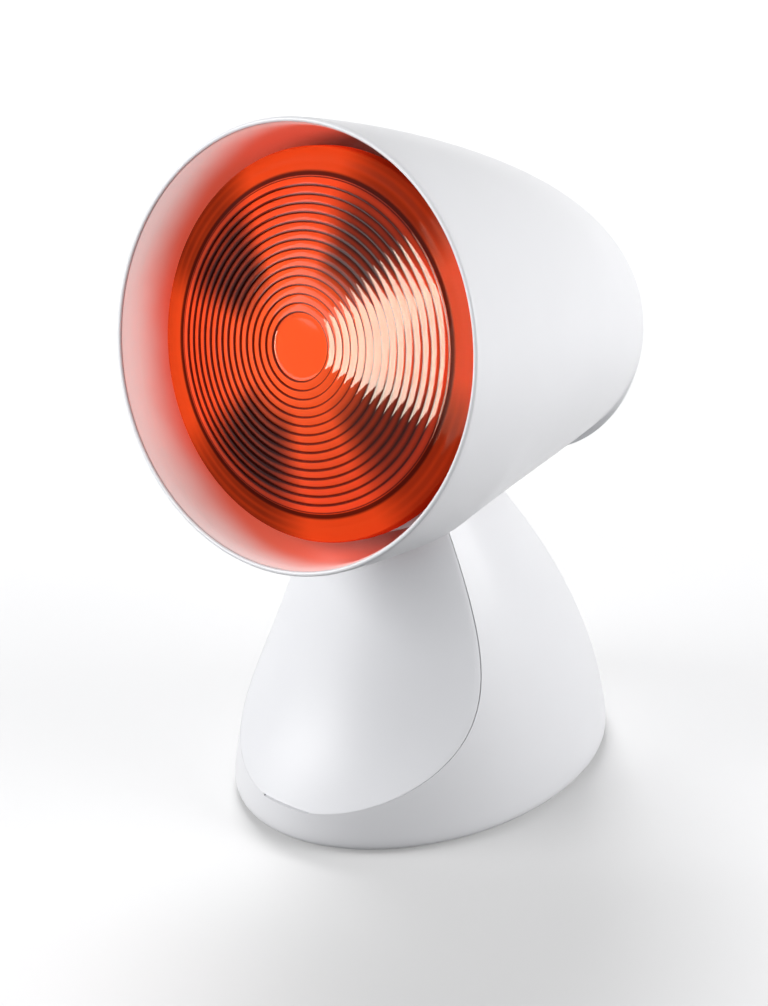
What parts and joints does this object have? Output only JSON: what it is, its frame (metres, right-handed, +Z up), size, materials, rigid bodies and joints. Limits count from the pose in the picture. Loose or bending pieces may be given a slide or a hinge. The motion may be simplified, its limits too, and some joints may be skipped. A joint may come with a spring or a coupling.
{
  "type": "infrared heat lamp",
  "caption": "Tilting infrared heat lamp: a bullet-shaped shade with a red reflector bulb, hinged on a weighted foot with an inset front panel.",
  "frame": {"origin": "on the table, under the middle of the foot's widest section", "axes": "+Z up; the lamp looks along -Y, tilted up; +X is to the right of a person who faces the red bulb from the front"},
  "size_m": [0.14, 0.1718, 0.2389],
  "materials": {
    "white_plastic": "moulded, glossy",
    "panel_plastic": "moulded, satin gloss",
    "red_glass": "pressed red glass, mirror coated behind",
    "brass": "rolled sheet",
    "ceramic": "glazed ceramic",
    "black_plastic": "moulded",
    "rubber": "soft, matt",
    "iron": "as cast",
    "aluminium": "spun, bright",
    "steel": "zinc plated"
  },
  "bodies": {
    "foot": {"hinge_pin": "steel", "pin_clip": "steel", "pivot_washers": "black_plastic", "hinge_fork": "steel", "fork_screws": "steel", "click_spring": "steel", "spring_screw": "steel", "base_shell": "white_plastic", "front_panel": "panel_plastic", "base_plate": "steel", "ballast_weight": "iron", "ballast_screws": "steel", "base_screws": "steel", "rubber_feet": "rubber", "switch_body": "black_plastic", "switch_terminals": "brass", "cord_bushing": "rubber", "terminal_block": "ceramic", "base_leads": "rubber", "neck_leads": "rubber"},
    "head": {"head_shell": "white_plastic", "bulb_lens": "red_glass", "bulb_reflector": "red_glass", "bulb_cap": "brass", "bulb_cap_insulator": "black_plastic", "bulb_contact": "steel", "bulb_filament": "steel", "filament_leads": "steel", "lamp_holder": "ceramic", "holder_thread": "brass", "holder_contact": "brass", "holder_screws": "steel", "heat_shield": "aluminium", "lamp_cradle": "steel", "shell_screws": "steel", "pivot_bushes": "brass", "click_sector": "steel", "holder_leads": "rubber"},
    "rocker": {"switch_rocker": "black_plastic"}
  },
  "joints": [
    {"name": "head_tilt", "type": "hinge", "parent": "foot", "child": "head", "pos_m": [0, -0.0041, 0.1069], "axis": [1, 0, 0], "range_deg": [-12, 12], "deforming": ["click_spring"]},
    {"name": "switch_rock", "type": "hinge", "parent": "foot", "child": "rocker", "pos_m": [0, 0.06153, 0.03747], "axis": [1, 0, 0], "range_deg": [-12, 0]}
  ]
}
